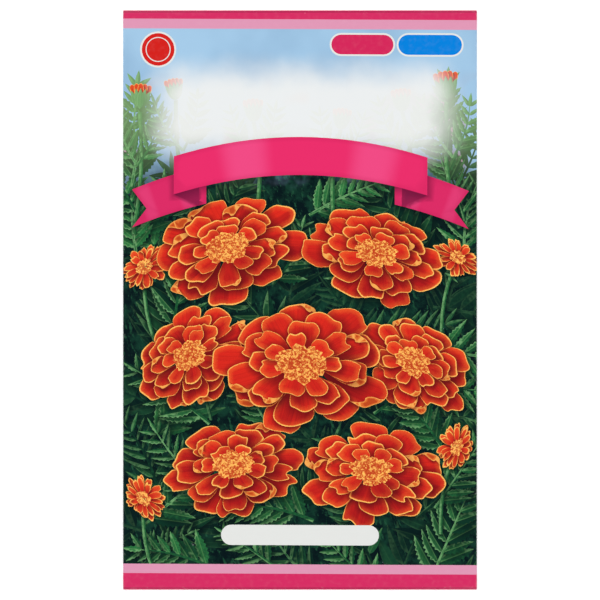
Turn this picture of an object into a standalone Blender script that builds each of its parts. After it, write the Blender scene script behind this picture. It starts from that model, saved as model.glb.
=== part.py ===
"""A closed seed packet of coated paper, lying on its back with its seeds inside.

Run it with: blender --background --python part.py

X is the packet's width, Y its height with the top of the print at +Y, and Z points
up out of the printed front. The origin is under the packet's middle, on the table.
"""

import math
import random

import bmesh
import bpy
from mathutils import Vector

MM = 0.001

# Driving dimensions of the packet
WIDTH = 97.7 * MM
HEIGHT = 160.0 * MM
PAPER = 0.16 * MM
LAYER_GAP = 0.10 * MM
BULGE = 1.5 * MM
FLOOR_GAP = 0.02 * MM
LAP_WIDTH = 11.0 * MM
LAP_RAMP_START = 1.0 * MM
LAP_RAMP_LENGTH = 6.0 * MM
FLAP_LENGTH = 14.0 * MM
FLAP_NARROWING = 8.0 * MM
SETTLE_LENGTH = 16.0 * MM
SETTLE_SIDE = 9.0 * MM

# Driving dimensions of the glue films
GLUE = 0.05 * MM
SEAM_GLUE_WIDTH = 8.0 * MM
SEAM_GLUE_END = 2.0 * MM
FLAP_GLUE_WIDTH = 74.0 * MM
FLAP_GLUE_START = 2.5 * MM
FLAP_GLUE_END = 12.0 * MM

# Driving dimensions of the seeds
SEED_COUNT = 40
SEED_BODY = 7.4 * MM
SEED_RADIUS = 0.46 * MM
SEED_TUFT = 3.4 * MM
TUFT_RADIUS = 0.60 * MM
SEED_BOW = 0.30 * MM
SEED_SEAT = 0.05 * MM
SEED_SPACING = 1.55 * MM
SEED_SIDES = 6
SEED_SHAPES = 5
SEED_SHAPE_SPREAD = 0.12
SEED_HEAP_CENTRE = (0.0 * MM, -20.0 * MM)
SEED_HEAP_RADII = (33.0 * MM, 42.0 * MM)
SEED_HEAP_SQUEEZE = 0.62
RANDOM_SEED = 41

# Facets of the curved surfaces
FOLD_STEPS = 6
FRONT_STEPS = 18
BACK_STEPS = 6
RAMP_STEPS = 3
LAP_STEPS = 2
LENGTH_STEPS = 28
FLAP_STEPS = 3

# Heights of the middle of each layer of paper where the flaps lie under the packet
FLAP_LEVEL = PAPER / 2
BACK_LEVEL = FLAP_LEVEL + PAPER + LAYER_GAP
LAP_LEVEL = BACK_LEVEL + PAPER + LAYER_GAP
FRONT_LEVEL = LAP_LEVEL + PAPER + LAYER_GAP

# Folds, as radii of the middle of the paper and the lines where the folds begin
SIDE_RADIUS = (FRONT_LEVEL - BACK_LEVEL) / 2
END_RADIUS = (FRONT_LEVEL - FLAP_LEVEL) / 2
SIDE_LINE = WIDTH / 2 - PAPER / 2 - SIDE_RADIUS
END_LINE = HEIGHT / 2 - PAPER / 2 - END_RADIUS

# How far the back sinks between the two flaps
BACK_SAG = BACK_LEVEL - PAPER / 2 - FLOOR_GAP


def steps(start, end, count):
    """Evenly spaced values from start to end, both ends included."""
    return [start + (end - start) * i / count for i in range(count + 1)]


def smooth(value, start, end):
    """Rises gently from 0 at start to 1 at end."""
    share = min(max((value - start) / (end - start), 0.0), 1.0)
    return share * share * (3 - 2 * share)


def settle(x, y):
    """How far the back has come down to the table: 0 at the folds and flaps, 1 between them."""
    flap_edge = END_LINE - FLAP_LENGTH
    along = smooth(flap_edge - abs(y), 0.5 * MM, SETTLE_LENGTH)
    across = smooth(SIDE_LINE - abs(x), 0.0, SETTLE_SIDE)
    return along * across


def front_level(x, y):
    """Middle of the front panel, which the seeds keep raised, most of all low down."""
    across = 1 - (x / SIDE_LINE) ** 2
    along = 1 - (y / END_LINE) ** 2
    low_down = 1 - 0.25 * y / END_LINE
    return FRONT_LEVEL + BULGE * across * along * low_down


def outer_back_level(x, y):
    """Middle of the back panel that lies outermost in the lengthwise lap."""
    return BACK_LEVEL - BACK_SAG * settle(x, y)


def inner_back_level(x, y):
    """Middle of the back panel that climbs over the other one at the lap."""
    ramp_top = -LAP_WIDTH / 2 - LAP_RAMP_START
    climbed = smooth(x, ramp_top - LAP_RAMP_LENGTH, ramp_top)
    return outer_back_level(x, y) + (LAP_LEVEL - BACK_LEVEL) * climbed


def tube_row(y):
    """One turn of the paper round the packet at y, from the inner edge of the lap to the outer."""
    ramp_top = -LAP_WIDTH / 2 - LAP_RAMP_START
    ramp_foot = ramp_top - LAP_RAMP_LENGTH
    inner = steps(LAP_WIDTH / 2, ramp_top, LAP_STEPS)
    inner += steps(ramp_top, ramp_foot, RAMP_STEPS)[1:]
    inner += steps(ramp_foot, -SIDE_LINE, BACK_STEPS)[1:]
    row = [Vector((x, y, inner_back_level(x, y))) for x in inner]
    fold_centre = (FRONT_LEVEL + BACK_LEVEL) / 2
    for turn in steps(0, math.pi, FOLD_STEPS)[1:-1]:
        out = SIDE_RADIUS * math.sin(turn)
        row.append(Vector((-SIDE_LINE - out, y, fold_centre - SIDE_RADIUS * math.cos(turn))))
    row += front_row(y)
    for turn in steps(0, math.pi, FOLD_STEPS)[1:-1]:
        out = SIDE_RADIUS * math.sin(turn)
        row.append(Vector((SIDE_LINE + out, y, fold_centre + SIDE_RADIUS * math.cos(turn))))
    outer = steps(SIDE_LINE, LAP_WIDTH / 2, BACK_STEPS)
    outer += steps(LAP_WIDTH / 2, -LAP_WIDTH / 2, LAP_STEPS)[1:]
    row += [Vector((x, y, outer_back_level(x, y))) for x in outer]
    return row


def front_row(y):
    """The front panel at y, from the left fold to the right one."""
    return [Vector((x, y, front_level(x, y))) for x in steps(-SIDE_LINE, SIDE_LINE, FRONT_STEPS)]


def flap_rows(end):
    """The front panel's tongue past one end, folded under the back. end is 1 at the top, -1 below."""
    columns = steps(-SIDE_LINE, SIDE_LINE, FRONT_STEPS)
    fold_centre = (FRONT_LEVEL + FLAP_LEVEL) / 2
    rows = []
    for turn in steps(0, math.pi, FOLD_STEPS):
        y = end * (END_LINE + END_RADIUS * math.sin(turn))
        rows.append([Vector((x, y, fold_centre + END_RADIUS * math.cos(turn))) for x in columns])
    for inward in steps(0, FLAP_LENGTH, FLAP_STEPS)[1:]:
        narrowed = 1 - FLAP_NARROWING / SIDE_LINE * (inward / FLAP_LENGTH) ** 1.5
        y = end * (END_LINE - inward)
        rows.append([Vector((x * narrowed, y, FLAP_LEVEL)) for x in columns])
    return rows


def add_patch(sheet, rows):
    """Joins rows of points, all equally long, into one patch of a sheet."""
    grid = [[sheet.verts.new(point) for point in row] for row in rows]
    for lower, upper in zip(grid, grid[1:]):
        for i in range(len(lower) - 1):
            sheet.faces.new((lower[i], lower[i + 1], upper[i + 1], upper[i]))


def make_sheet(name, patches, thickness, material):
    """A thin sheet: its middle surface, welded from patches, thickened to both sides."""
    sheet = bmesh.new()
    for rows in patches:
        add_patch(sheet, rows)
    bmesh.ops.remove_doubles(sheet, verts=sheet.verts, dist=0.001 * MM)
    bmesh.ops.recalc_face_normals(sheet, faces=sheet.faces)
    # Split alike on both faces, so that a waved quad keeps its thickness
    bmesh.ops.triangulate(sheet, faces=sheet.faces)
    mesh = bpy.data.meshes.new(name)
    sheet.to_mesh(mesh)
    sheet.free()
    obj = place_object(name, mesh, material)
    solidify = obj.modifiers.new("thickness", "SOLIDIFY")
    solidify.thickness = thickness
    solidify.offset = 0
    solidify.use_even_offset = True
    return obj


def make_material(name, colour, roughness):
    """A plain finish in linear colour."""
    material = bpy.data.materials.new(name)
    material.use_nodes = True
    shader = material.node_tree.nodes["Principled BSDF"]
    shader.inputs["Base Color"].default_value = (*colour, 1)
    shader.inputs["Roughness"].default_value = roughness
    shader.inputs["Metallic"].default_value = 0
    return material


def place_object(name, mesh, material):
    """Puts a mesh in the packet's collection, carried by the packet's empty."""
    obj = bpy.data.objects.new(name, mesh)
    if not mesh.materials:
        mesh.materials.append(material)
    bpy.data.collections["seed_packet"].objects.link(obj)
    obj.parent = bpy.data.objects["packet"]
    return obj


def start_scene():
    """An empty scene with the packet's collection and the empty that carries every piece."""
    for obj in list(bpy.data.objects):
        bpy.data.objects.remove(obj, do_unlink=True)
    collection = bpy.data.collections.new("seed_packet")
    bpy.context.scene.collection.children.link(collection)
    collection.objects.link(bpy.data.objects.new("packet", None))


def make_envelope(material):
    """One sheet: the front, both side folds, the lapped back, and a flap folded under at each end."""
    tube = [tube_row(y) for y in steps(-END_LINE, END_LINE, LENGTH_STEPS)]
    make_sheet("envelope", [tube, flap_rows(1), flap_rows(-1)], PAPER, material)


def make_seam_glue(material):
    """Glue between the two back panels, all along the lap."""
    middle = (LAP_LEVEL - BACK_LEVEL) / 2
    across = steps(-SEAM_GLUE_WIDTH / 2, SEAM_GLUE_WIDTH / 2, LAP_STEPS)
    along = steps(SEAM_GLUE_END - END_LINE, END_LINE - SEAM_GLUE_END, LENGTH_STEPS)
    rows = [[Vector((x, y, outer_back_level(x, y) + middle)) for x in across] for y in along]
    make_sheet("seam_glue", [rows], GLUE, material)


def make_flap_glue(name, end, material):
    """Glue between one flap and the back that it is folded under."""
    level = (FLAP_LEVEL + BACK_LEVEL) / 2
    across = steps(-FLAP_GLUE_WIDTH / 2, FLAP_GLUE_WIDTH / 2, FLAP_STEPS)
    along = [end * (END_LINE - FLAP_GLUE_END), end * (END_LINE - FLAP_GLUE_START)]
    rows = [[Vector((x, y, level)) for x in across] for y in along]
    make_sheet(name, [rows], GLUE, material)


def seed_rings(length_share, bow_share):
    """Rings of a seed along X: a slender husk, then a tuft of bristles pressed into points."""
    body = SEED_BODY * length_share
    # Each ring: share of the husk's length, radius at its ridges, radius between them
    husk = [(0.0, 0.35, 0.35), (0.14, 0.66, 0.60), (0.5, 1.0, 0.9), (0.86, 0.95, 0.85), (1.0, 0.62, 0.62)]
    rings = [(body * along, SEED_RADIUS * ridge, SEED_RADIUS * groove) for along, ridge, groove in husk]
    # Each ring: share of the tuft's length, radius at the bristles, radius between them
    tuft = [(0.45, 0.85, 0.35), (1.0, 1.0, 0.30)]
    rings += [
        (body + SEED_TUFT * length_share * along, TUFT_RADIUS * bristle, TUFT_RADIUS * between)
        for along, bristle, between in tuft
    ]
    whole = rings[-1][0]
    points = []
    for along, high, low in rings:
        lift = SEED_BOW * bow_share * math.sin(math.pi * along / whole)
        ring = []
        for side in range(SEED_SIDES):
            radius = low if side % 2 else high
            angle = math.tau * side / SEED_SIDES
            ring.append((along - whole / 2, lift + radius * math.cos(angle), radius * math.sin(angle)))
        points.append(ring)
    return points


def make_seed_mesh(name, length_share, bow_share, material):
    """Lofts one seed through its rings, with a face on each end."""
    seed = bmesh.new()
    rings = [[seed.verts.new(point) for point in ring] for ring in seed_rings(length_share, bow_share)]
    for lower, upper in zip(rings, rings[1:]):
        for i in range(SEED_SIDES):
            j = (i + 1) % SEED_SIDES
            seed.faces.new((lower[i], lower[j], upper[j], upper[i]))
    seed.faces.new(rings[0])
    seed.faces.new(rings[-1])
    bmesh.ops.recalc_face_normals(seed, faces=seed.faces)
    bmesh.ops.triangulate(seed, faces=seed.faces)
    mesh = bpy.data.meshes.new(name)
    seed.to_mesh(mesh)
    seed.free()
    mesh.materials.append(material)
    return mesh


def seed_spine(x, y, angle):
    """Points along a lying seed, a little over a millimetre apart."""
    reach = (SEED_BODY + SEED_TUFT) * (1 + SEED_SHAPE_SPREAD) / 2
    along = steps(-reach, reach, 10)
    return [Vector((x + s * math.cos(angle), y + s * math.sin(angle))) for s in along]


def seed_height(spine):
    """Height of a seed's axis over the highest paper under it, or None where the front is too low."""
    on_back = [inner_back_level(p.x, p.y) for p in spine if p.x <= LAP_WIDTH / 2]
    on_back += [outer_back_level(p.x, p.y) for p in spine if p.x > LAP_WIDTH / 2]
    height = max(on_back) + PAPER / 2 + SEED_SEAT + TUFT_RADIUS
    ceiling = min(front_level(p.x, p.y) for p in spine) - PAPER / 2 - SEED_SEAT
    return height if height + TUFT_RADIUS < ceiling else None


def scatter_seeds():
    """Places for the seeds in one loose layer, as (x, y, height, angle), none touching another."""
    draw = random.Random(RANDOM_SEED)
    places = []
    spines = []
    while len(places) < SEED_COUNT:
        distance = draw.random() ** SEED_HEAP_SQUEEZE
        bearing = draw.uniform(0, math.tau)
        x = SEED_HEAP_CENTRE[0] + SEED_HEAP_RADII[0] * distance * math.cos(bearing)
        y = SEED_HEAP_CENTRE[1] + SEED_HEAP_RADII[1] * distance * math.sin(bearing)
        angle = draw.uniform(0, math.tau)
        spine = seed_spine(x, y, angle)
        height = seed_height(spine)
        if height is None:
            continue
        if any((p - q).length < SEED_SPACING for other in spines for p in other for q in spine):
            continue
        places.append((x, y, height, angle))
        spines.append(spine)
    return places


def make_seeds(material):
    """The loose seeds, each a copy of one of a few shapes."""
    draw = random.Random(RANDOM_SEED + 1)
    shapes = []
    for shape in range(SEED_SHAPES):
        length_share = 1 + draw.uniform(-SEED_SHAPE_SPREAD, SEED_SHAPE_SPREAD)
        bow_share = draw.uniform(-1, 1)
        shapes.append(make_seed_mesh(f"seed_shape_{shape + 1}", length_share, bow_share, material))
    for number, (x, y, height, angle) in enumerate(scatter_seeds(), start=1):
        obj = place_object(f"seed_{number:02d}", shapes[number % SEED_SHAPES], material)
        obj.location = (x, y, height)
        obj.rotation_euler = (0, 0, angle)


def main():
    start_scene()
    paper = make_material("coated_paper", (0.60, 0.05, 0.10), 0.32)
    glue = make_material("dried_glue", (0.78, 0.76, 0.68), 0.45)
    husk = make_material("seed_husk", (0.03, 0.025, 0.02), 0.7)
    make_envelope(paper)
    make_seam_glue(glue)
    make_flap_glue("top_flap_glue", 1, glue)
    make_flap_glue("bottom_flap_glue", -1, glue)
    make_seeds(husk)


main()
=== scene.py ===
"""Looks of a closed seed packet of coated paper that lies on its back, printed side up."""

import math
import random
from types import SimpleNamespace

import bmesh
import bpy
import numpy as np
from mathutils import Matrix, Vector
from mathutils.geometry import delaunay_2d_cdt


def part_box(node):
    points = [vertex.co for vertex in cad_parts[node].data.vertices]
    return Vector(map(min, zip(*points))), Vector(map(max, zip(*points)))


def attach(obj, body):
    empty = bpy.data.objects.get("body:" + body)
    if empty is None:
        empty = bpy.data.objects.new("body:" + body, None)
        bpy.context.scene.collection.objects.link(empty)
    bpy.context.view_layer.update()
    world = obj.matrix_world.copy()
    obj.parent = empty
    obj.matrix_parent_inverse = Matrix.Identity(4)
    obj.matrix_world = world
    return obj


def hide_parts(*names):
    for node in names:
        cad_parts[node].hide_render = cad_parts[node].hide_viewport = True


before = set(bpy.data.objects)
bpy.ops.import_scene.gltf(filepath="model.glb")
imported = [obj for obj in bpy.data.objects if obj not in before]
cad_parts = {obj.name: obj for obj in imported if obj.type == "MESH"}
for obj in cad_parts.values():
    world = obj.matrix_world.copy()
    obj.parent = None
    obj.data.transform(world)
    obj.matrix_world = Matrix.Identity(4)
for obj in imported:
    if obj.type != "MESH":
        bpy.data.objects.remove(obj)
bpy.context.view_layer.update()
MM = 0.001


# The view
# The photo looks straight down on the packet, which fills all but a narrow edge of its height.
# A long lens keeps the edges parallel, as in a flat scan.
low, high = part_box("envelope")
photo_pixels = 600
packet_pixels_high = 579.6
camera_height = 1.5
shown_width = (high.y - low.y) * photo_pixels / packet_pixels_high


def add_object(name, data):
    """A new object in the scene."""
    made = bpy.data.objects.new(name, data)
    bpy.context.scene.collection.objects.link(made)
    return made


camera = add_object("camera", bpy.data.cameras.new("camera"))
camera.data.sensor_width = 36
camera.data.lens = camera.data.sensor_width * (camera_height - high.z / 2) / shown_width
camera.location = (0, 0, camera_height)
bpy.context.scene.camera = camera
bpy.context.scene.view_settings.view_transform = "Standard"


# The studio
# A pale table, a dim sky that is darkest overhead so that the gloss doesn't veil the print,
# and four large soft lamps round the packet, a little stronger from the upper left.
class Value:
    """One socket in a node tree. Sums, products and powers of sockets add Math nodes."""

    def __init__(self, tree, socket=None):
        self.tree = tree
        self.socket = socket

    def feed(self, node, inputs):
        """Sets a node's sockets, each to a value or by a link."""
        for name, given in inputs.items():
            taker = node.inputs[name]
            if isinstance(given, Value):
                self.tree.links.new(given.socket, taker)
            elif isinstance(given, tuple) and len(given) < len(taker.default_value):
                taker.default_value = (*given, 1)
            else:
                taker.default_value = given

    def node(self, kind, settings, inputs, output=0):
        """Adds a node: its settings come first, then the values or links of its sockets."""
        made = self.tree.nodes.new("ShaderNode" + kind)
        for name, setting in settings.items():
            setattr(made, name, setting)
        self.feed(made, inputs)
        return Value(self.tree, made.outputs[output])

    def math(self, operation, *others):
        return self.node("Math", {"operation": operation}, dict(enumerate((self, *others))))

    def __add__(self, other):
        return self.math("ADD", other)

    def __sub__(self, other):
        return self.math("SUBTRACT", other)

    def __mul__(self, other):
        return self.math("MULTIPLY", other)

    def __truediv__(self, other):
        return self.math("DIVIDE", other)

    def __pow__(self, other):
        return self.math("POWER", other)

    __radd__ = __add__
    __rmul__ = __mul__

    def __rsub__(self, other):
        return self.node("Math", {"operation": "SUBTRACT"}, {0: other, 1: self})

    def between(self, start, end):
        """Rises gently from 0 where the value is start to 1 where it is end."""
        limits = {"Value": self, "From Min": start, "From Max": end}
        return self.node("MapRange", {"interpolation_type": "SMOOTHSTEP"}, limits)

    def blend(self, off, on):
        """The colour off where this mask is 0, and the colour on where it is 1."""
        return self.node("Mix", {"data_type": "RGBA"}, {0: self, 6: off, 7: on}, 2)

    def parts(self):
        """The three numbers of a vector."""
        return [self.node("SeparateXYZ", {}, {0: self}, axis) for axis in range(3)]

    def vector(self, *numbers):
        """A vector from three numbers or sockets."""
        return self.node("CombineXYZ", {}, dict(enumerate(numbers)))

    def attribute(self, name, output="Vector"):
        """What the mesh says under a name, at each of its points or corners."""
        return self.node("Attribute", {"attribute_name": name}, {}, output)

    def noise(self, scale, detail=2.0, roughness=0.5):
        """Soft noise from 0 to 1 over this vector."""
        shape = {"Vector": self, "Scale": scale, "Detail": detail, "Roughness": roughness}
        return self.node("TexNoise", {"normalize": True}, shape)

    def relief(self, strength, depth):
        """The surface's direction where this value stands up from it."""
        return self.node("Bump", {}, {"Height": self, "Strength": strength, "Distance": depth})

    def finish(self, sockets):
        """Sets or links the sockets of the material's own shader."""
        self.feed(self.tree.nodes["Principled BSDF"], sockets)


def start_material(name):
    """A new material, and a value that starts its node maths."""
    material = bpy.data.materials.new(name)
    material.use_nodes = True
    return material, Value(material.node_tree)


floor_drop = 0.01 * MM
floor_size = 6.0
bpy.ops.mesh.primitive_plane_add(size=floor_size, location=(0, 0, -floor_drop))
floor = bpy.context.object
floor.name = "table"
floor_material, start = start_material("pale_table")
clouding = start.node("TexCoord", {}, {}, "Object").noise(3.0)
start.finish({
    "Base Color": clouding.blend((0.97, 0.97, 0.97), (0.985, 0.985, 0.985)),
    "Roughness": 0.9,
    "Specular IOR Level": 0.1,
    "Emission Color": (1, 1, 1),
    "Emission Strength": 0.28,
})
floor.data.materials.append(floor_material)

world = bpy.data.worlds.new("studio")
world.use_nodes = True
bpy.context.scene.world = world
dome = Value(world.node_tree)
height = dome.node("TexCoord", {}, {}, "Generated").parts()[2]
glow = height.between(0.97, 0.55) * 0.15 + 0.032
dome.feed(world.node_tree.nodes["Background"], {"Color": (1, 1, 1), "Strength": glow})

lamp_size = 0.85
lamp_distance = 1.4
lamp_elevation = math.radians(49)
for bearing, power in ((135, 8.2), (45, 7.3), (225, 7.15), (315, 6.5)):
    lamp = add_object(f"lamp_{bearing}", bpy.data.lights.new(f"lamp_{bearing}", "AREA"))
    lamp.data.shape = "SQUARE"
    lamp.data.size = lamp_size
    lamp.data.energy = power
    turn = math.radians(bearing)
    out = lamp_distance * math.cos(lamp_elevation)
    up = lamp_distance * math.sin(lamp_elevation)
    lamp.location = (out * math.cos(turn), out * math.sin(turn), up)
    lamp.rotation_euler = (-lamp.location).to_track_quat("-Z", "Y").to_euler()


# The sheet
# The envelope is one sheet of coated paper, printed flat and then folded: both sides round to
# a lap at the back, and a tongue at each end under onto the back. The places here are those of
# the construction, in metres, and take a point of the flat sheet to where it lies when folded.
paper = 0.16 * MM
layer_gap = 0.10 * MM
bulge = 1.5 * MM
back_rest = 0.02 * MM
lap_width = 11.0 * MM
ramp_start = 1.0 * MM
ramp_length = 6.0 * MM
flap_length = 14.0 * MM
flap_narrowing = 8.0 * MM
settle_length = 16.0 * MM
settle_side = 9.0 * MM
flap_level = paper / 2
back_level = flap_level + paper + layer_gap
lap_level = back_level + paper + layer_gap
front_edge_level = lap_level + paper + layer_gap
side_radius = (front_edge_level - back_level) / 2
end_radius = (front_edge_level - flap_level) / 2
side_line = (high.x - low.x) / 2 - paper / 2 - side_radius
end_line = (high.y - low.y) / 2 - paper / 2 - end_radius
side_turn = math.pi * side_radius
end_turn = math.pi * end_radius
sheet_side = 2 * side_line + side_turn + lap_width / 2
tongue_end = end_line + end_turn + flap_length
corner_turn = 0.9
wave_height = 0.05 * MM
buckle_height = 0.16 * MM
buckle_width = 3.2 * MM
buckle_length = 34.0 * MM
buckle_slope = (0.64, 0.77)


def smooth(value, start, end):
    """Rises gently from 0 at start to 1 at end."""
    share = np.clip((value - start) / (end - start), 0, 1)
    return share * share * (3 - 2 * share)


def settled(x, y):
    """How far the back has come down to the table: 0 at folds and flaps, 1 between them."""
    along = smooth(end_line - flap_length - abs(y), 0.5 * MM, settle_length)
    return along * smooth(side_line - abs(x), 0.0, settle_side)


def unevenness(x, y):
    """Slow waves in the filled front, and a soft buckle that runs in from each corner."""
    inside = np.clip(1 - (x / side_line) ** 2, 0, 1) * np.clip(1 - (y / end_line) ** 2, 0, 1)
    u = x / MM
    v = y / MM
    waves = np.sin(u / 11 + 1.7 * np.sin(v / 31)) * np.sin(v / 15 + 0.9) + 0.5 * np.sin(u / 7 - v / 9)
    from_side = side_line - abs(x)
    from_end = end_line - abs(y)
    along = math.pi * np.clip(np.hypot(from_side, from_end) / buckle_length, 0, 1)
    across = (from_side * buckle_slope[0] - from_end * buckle_slope[1]) / buckle_width
    return wave_height * waves * np.sqrt(inside) - buckle_height * np.exp(-(across**2)) * np.sin(along)


def front_level(x, y):
    """The front's middle surface: a low pillow, fullest below the middle, where the seeds lie."""
    across = 1 - (x / side_line) ** 2
    along = 1 - (y / end_line) ** 2
    return front_edge_level + bulge * across * along * (1 - 0.25 * y / end_line) + unevenness(x, y)


def back_panel_level(x, y, inner):
    """The back's middle surface. The inner panel climbs over the outer one where they lap."""
    ramp_top = -lap_width / 2 - ramp_start
    climbed = smooth(x, ramp_top - ramp_length, ramp_top) * inner
    sag = (back_level - paper / 2 - back_rest) * settled(x, y)
    return back_level - sag + (lap_level - back_level) * climbed


def folded(s, t, lift):
    """Where the points (s, t) of the flat sheet lie, lifted off its middle towards the print."""
    side = np.clip((abs(s) - side_line) / side_radius, 0, math.pi)
    end = np.clip((abs(t) - end_line) / end_radius, 0, math.pi)
    beyond_side = np.clip(abs(s) - side_line - side_turn, 0, None)
    beyond_end = np.clip(abs(t) - end_line - end_turn, 0, None)
    narrowed = 1 - flap_narrowing / side_line * np.clip(beyond_end / flap_length, 0, 1) ** 1.5
    x = np.where(abs(s) > side_line, np.sign(s) * (side_line - beyond_side), s) * narrowed
    y = np.where(abs(t) > end_line, np.sign(t) * (end_line - beyond_end), t)
    x = x + np.sign(s) * (side_radius + lift) * np.sin(side)
    y = y + np.sign(t) * (end_radius + lift) * np.sin(end)
    z = front_level(np.clip(x, -side_line, side_line), np.clip(y, -end_line, end_line)) + lift
    side_z = (front_edge_level + back_level) / 2 + (side_radius + lift) * np.cos(side)
    z = np.where(side > 0, side_z, z)
    z = np.where(beyond_side > 0, back_panel_level(x, y, s < 0) - lift, z)
    corner_drop = side_radius * (1 - np.cos(side)) * (1 - smooth(end, 0.0, corner_turn))
    end_z = (front_edge_level + flap_level) / 2 + (end_radius + lift) * np.cos(end) - corner_drop
    return np.stack([x, y, np.where(end > 0, end_z, z)], axis=1)


# The inks
# The print is built up ink by ink. Each printed shape is an outline on the flat sheet, in
# millimetres, laid down in order, and each ink is a material that is glossy with the coating.
# The whole front is printed a touch askew on the paper.
inks = []
shapes = []
skew = math.radians(-0.27)
longest_edge = 3.0
side_mm = side_line / MM
end_mm = end_line / MM
white = (0.80, 0.81, 0.80)
worn_white = (0.72, 0.71, 0.70)
fold_shade = (0.012, 0.010, 0.012)
cloud_centre = (1.4, 52.0)
cloud_half = (33.0, 4.5)
cloud_reach = 13.0


def turned(points, base, angle):
    """Points laid out along X, turned to an angle and moved to start at base."""
    matrix = np.array([[math.cos(angle), math.sin(angle)], [-math.sin(angle), math.cos(angle)]])
    return np.asarray(points, float) @ matrix + base


def split(ring):
    """A closed outline with its long edges divided, so that it can follow the paper's bulge."""
    points = []
    for start, end in zip(ring, np.roll(ring, -1, axis=0)):
        pieces = max(1, math.ceil(math.dist(start, end) / longest_edge))
        points.extend(start + (end - start) * piece / pieces for piece in range(pieces))
    return np.array(points)


def lay(ink, outline, spine=None, tint=(0, 0, 0), contours=(), shadow=0.0):
    """Lays one shape over those before it. spine is the line its pattern runs along, tint what its
    ink needs to know of it, and contours are lines inside it that its colours follow. shadow is
    how far it darkens what lies under it."""
    shape = SimpleNamespace(ink=inks.index(ink), tint=tint, shadow=shadow)
    shape.outline, *shape.contours = [split(turned(ring, (0, 0), skew)) for ring in (outline, *contours)]
    shape.spine = shape.outline[:2] if spine is None else turned(spine, (0, 0), skew)
    shapes.append(shape)


def start_ink(name):
    """A new ink, a value that starts its node maths, and its place on the flat sheet."""
    ink, start = start_material(name)
    inks.append(ink)
    return ink, start, start.attribute("print_at")


def finish_ink(start, at, colour, *layers, clouded=True):
    """Gives an ink its colour, with thin layers over it that are each a mask and a colour, and
    what all inks share: the white cloud printed over the top of the picture, the scuffs on the
    folds, a painted shade in a thin dark line along every fold, and the coated paper's fine
    tooth and gloss."""
    x, y, _ = at.parts()
    layers = list(layers)
    if clouded:
        out_x = ((x - cloud_centre[0]).math("ABSOLUTE") - cloud_half[0]).math("MAXIMUM", 0.0)
        out_y = ((y - cloud_centre[1]).math("ABSOLUTE") - cloud_half[1]).math("MAXIMUM", 0.0)
        ragged = (out_x**2.0 + out_y**2.0) ** 0.5 + (at.noise(0.09, 3.0) - 0.5) * 7.0
        layers.append((ragged.between(cloud_reach, 0.5) * 0.93, white))
    side_fold = (x.math("ABSOLUTE") - side_mm).math("ABSOLUTE")
    end_fold = (y.math("ABSOLUTE") - end_mm).math("ABSOLUTE")
    near_fold = (side_fold + 0.25).math("MINIMUM", end_fold)
    scuff = at.noise(0.55, 4.0, 0.7).between(0.58, 0.74) * near_fold.between(0.75, 0.2)
    layers.append((scuff * 0.12, worn_white))
    # Painted shade: a thin near-black line along every fold, where the paper turns away from the light.
    layers.append((near_fold.between(0.30, 0.02) * 0.40, fold_shade))
    for mask, over in layers:
        colour = mask.blend(colour, over)
    mottle = at.noise(0.30, 2.0)
    tooth = at.noise(5.5, 3.0, 0.6) + mottle * 0.8
    start.finish({
        "Base Color": colour,
        "Roughness": 0.14 + mottle * 0.06 + scuff * 0.3,
        "Normal": tooth.relief(0.22, 0.02 * MM),
        "Specular IOR Level": 0.28,
        "Coat Weight": 0.25,
        "Coat Roughness": 0.16,
        "Coat IOR": 1.4,
    })


# The bare paper
# White coated paper shows on the back, inside the envelope and at the cut edges. Its first shape
# is a mere point: it stands for all the paper that nothing is printed on.
paper_ink, start, at = start_ink("coated_paper")
fibres = at.noise(1.4, 4.0, 0.65)
finish_ink(start, at, fibres.blend((0.77, 0.765, 0.745), (0.83, 0.83, 0.82)), clouded=False)
lay(paper_ink, [(0, 0)])


# The sky and the far leaves
# Behind everything on the front is a blue sky that turns, towards the foot, into a dark green
# bank of leaves too far off to be sharp. It wraps a few millimetres round every fold.
bleed = 5.0
front_half_width = side_mm + bleed
front_half_height = end_mm + bleed
horizon = 41.0
horizon_depth = 9.0
sky_ink, start, at = start_ink("sky_and_far_leaves")
x, y, _ = at.parts()
sky = at.noise(0.035, 3.0).between(0.35, 0.62).blend((0.275, 0.45, 0.64), (0.345, 0.545, 0.74))
blurred_blossoms = at.noise(0.085, 1.0).between(0.52, 0.66) * y.between(64.0, 54.0)
sky = (blurred_blossoms * 0.6).blend(sky, (0.50, 0.17, 0.09))
blotch = at.noise(0.22, 5.0, 0.65)
far = blotch.between(0.42, 0.66).blend((0.001, 0.007, 0.009), (0.005, 0.036, 0.022))
blades = start.vector(x * 0.9 + y * 0.25, y * 0.35 - x * 0.08, blotch * 1.5).noise(1.1, 3.0, 0.6)
far = (blades.between(0.55, 0.68) * 0.7).blend(far, (0.016, 0.088, 0.042))
gaps = at.noise(0.55, 2.0).between(0.735, 0.765)
far = (gaps * 0.7).blend(far, (0.30, 0.44, 0.47))
level = y + (x / 50.0) ** 2.0 * 7.0 + (at.noise(0.12, 3.0) - 0.5) * 24.0
above = level.between(horizon - horizon_depth, horizon + horizon_depth)
finish_ink(start, at, above.blend(far, sky))


def box_outline(left, right, foot, top):
    return [(left, foot), (right, foot), (right, top), (left, top)]


lay(sky_ink, box_outline(-front_half_width, front_half_width, -front_half_height, front_half_height))


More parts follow.
